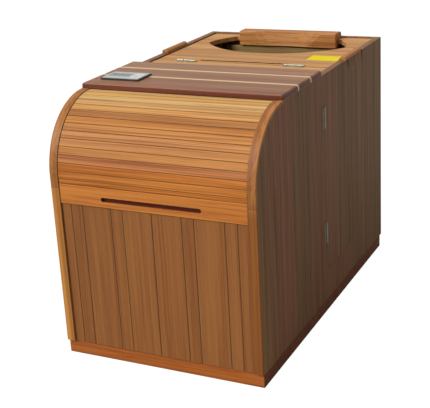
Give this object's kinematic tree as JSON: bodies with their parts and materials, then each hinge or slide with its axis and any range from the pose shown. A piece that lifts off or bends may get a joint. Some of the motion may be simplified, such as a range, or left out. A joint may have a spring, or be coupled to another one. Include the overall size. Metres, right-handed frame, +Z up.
{
  "type": "half-body sauna cabinet",
  "caption": "Upright cedar cabinet for one seated person: roll-up tambour front, hinged neck lid, two side doors, dark shelf with control panel, headrest.",
  "frame": {"origin": "floor level at the centre of the cabinet's bounding footprint", "axes": "+Z up, the roll-up front faces -Y, +X is the right-hand side seen from the front"},
  "size_m": [0.776, 1.315, 0.9421],
  "materials": {
    "cedar_wall": "oiled satin",
    "cedar_door": "oiled satin",
    "cedar_front": "oiled satin",
    "cedar_trim": "oiled satin",
    "cedar_slat": "oiled satin",
    "cedar_rail": "oiled satin",
    "cedar_deck": "oiled satin",
    "cedar_headrest": "oiled satin",
    "cedar_inner": "unfinished, planed",
    "plinth_wood": "oiled satin",
    "shelf_dark": "oiled satin",
    "inlay_pale": "oiled satin",
    "plug_red": "oiled satin",
    "satin_steel": "satin",
    "black_plastic": "satin",
    "grey_plastic": "satin",
    "display_window": "gloss",
    "key_plastic": "satin",
    "heater_skin": "matte fabric-faced panel",
    "canvas": "woven duck",
    "black_rubber": "matte"
  },
  "bodies": {
    "cabinet": {"arc_trims": "cedar_trim", "back_heater": "heater_skin", "back_panel": "cedar_wall", "backrest": "cedar_inner", "bench_cleat": "cedar_inner", "bench_riser": "cedar_inner", "bench_seat": "cedar_inner", "calf_heater": "heater_skin", "cord_grommet": "black_rubber", "corner_posts": "cedar_inner", "cross_rail": "cedar_inner", "deck_strip": "cedar_deck", "door_catches": "black_plastic", "door_hinge_pins": "satin_steel", "door_hinge_wall_leaves": "satin_steel", "floor_grille": "cedar_inner", "floor_heater": "heater_skin", "floor_panel": "cedar_inner", "front_heater": "heater_skin", "front_panel": "cedar_front", "front_stiles": "cedar_trim", "guide_tracks": "cedar_inner", "headrest": "cedar_headrest", "lid_hinge_deck_leaves": "satin_steel", "lid_hinge_pins": "satin_steel", "lid_rests": "cedar_inner", "panel_display": "display_window", "panel_face": "grey_plastic", "panel_housing": "black_plastic", "plinth_frame": "plinth_wood", "power_box": "black_plastic", "rear_deck": "cedar_deck", "shelf_board_front": "shelf_dark", "shelf_board_middle": "shelf_dark", "shelf_board_rear": "shelf_dark", "shelf_inlay_front": "inlay_pale", "shelf_inlay_rear": "inlay_pale", "shelf_plugs": "plug_red", "side_wall_left": "cedar_wall", "side_wall_right": "cedar_wall"},
    "tambour_curtain": {"tambour_slats": "cedar_slat", "tambour_canvas": "canvas"},
    "pull_rail": {"pull_rail": "cedar_rail"},
    "lid": {"lid_panel": "cedar_deck", "lid_battens": "cedar_inner", "lid_hinge_lid_leaves": "satin_steel"},
    "door_left": {"side_door_left": "cedar_door", "door_grip_left": "cedar_trim", "door_hinge_leaves_left": "satin_steel", "door_strike_left": "satin_steel"},
    "door_right": {"side_door_right": "cedar_door", "door_grip_right": "cedar_trim", "door_hinge_leaves_right": "satin_steel", "door_strike_right": "satin_steel"},
    "key_1": {"panel_key_1": "key_plastic"},
    "key_2": {"panel_key_2": "key_plastic"},
    "key_3": {"panel_key_3": "key_plastic"},
    "key_4": {"panel_key_4": "key_plastic"},
    "key_5": {"panel_key_5": "key_plastic"},
    "key_6": {"panel_key_6": "key_plastic"}
  },
  "joints": [
    {"name": "tambour_roll", "type": "hinge", "parent": "cabinet", "child": "tambour_curtain", "pos_m": [0, -0.4115, 0.669], "axis": [-1, 0, 0], "range_deg": [0, 75]},
    {"name": "pull_rail_tilt", "type": "hinge", "parent": "tambour_curtain", "child": "pull_rail", "pos_m": [0, -0.637, 0.6445], "axis": [1, 0, 0], "range_deg": [0, 13.01]},
    {"name": "lid_hinge", "type": "hinge", "parent": "cabinet", "child": "lid", "pos_m": [0, 0.0895, 0.9135], "axis": [1, 0, 0], "range_deg": [0, 165]},
    {"name": "door_left_hinge", "type": "hinge", "parent": "cabinet", "child": "door_left", "pos_m": [-0.3845, -0.037, 0.54], "axis": [0, 0, 1], "range_deg": [0, 110]},
    {"name": "door_right_hinge", "type": "hinge", "parent": "cabinet", "child": "door_right", "pos_m": [0.3845, -0.037, 0.54], "axis": [0, 0, -1], "range_deg": [0, 110]},
    {"name": "key_1_press", "type": "slide", "parent": "cabinet", "child": "key_1", "axis": [0, 0, -1], "range_m": [0, 0.0012], "stiffness_N_per_m": 220},
    {"name": "key_2_press", "type": "slide", "parent": "cabinet", "child": "key_2", "axis": [0, 0, -1], "range_m": [0, 0.0012], "stiffness_N_per_m": 220},
    {"name": "key_3_press", "type": "slide", "parent": "cabinet", "child": "key_3", "axis": [0, 0, -1], "range_m": [0, 0.0012], "stiffness_N_per_m": 220},
    {"name": "key_4_press", "type": "slide", "parent": "cabinet", "child": "key_4", "axis": [0, 0, -1], "range_m": [0, 0.0012], "stiffness_N_per_m": 220},
    {"name": "key_5_press", "type": "slide", "parent": "cabinet", "child": "key_5", "axis": [0, 0, -1], "range_m": [0, 0.0012], "stiffness_N_per_m": 220},
    {"name": "key_6_press", "type": "slide", "parent": "cabinet", "child": "key_6", "axis": [0, 0, -1], "range_m": [0, 0.0012], "stiffness_N_per_m": 220}
  ],
  "couplings": [
    {"joint": "pull_rail_tilt", "follows": "tambour_roll", "ratio": 0.17333}
  ]
}
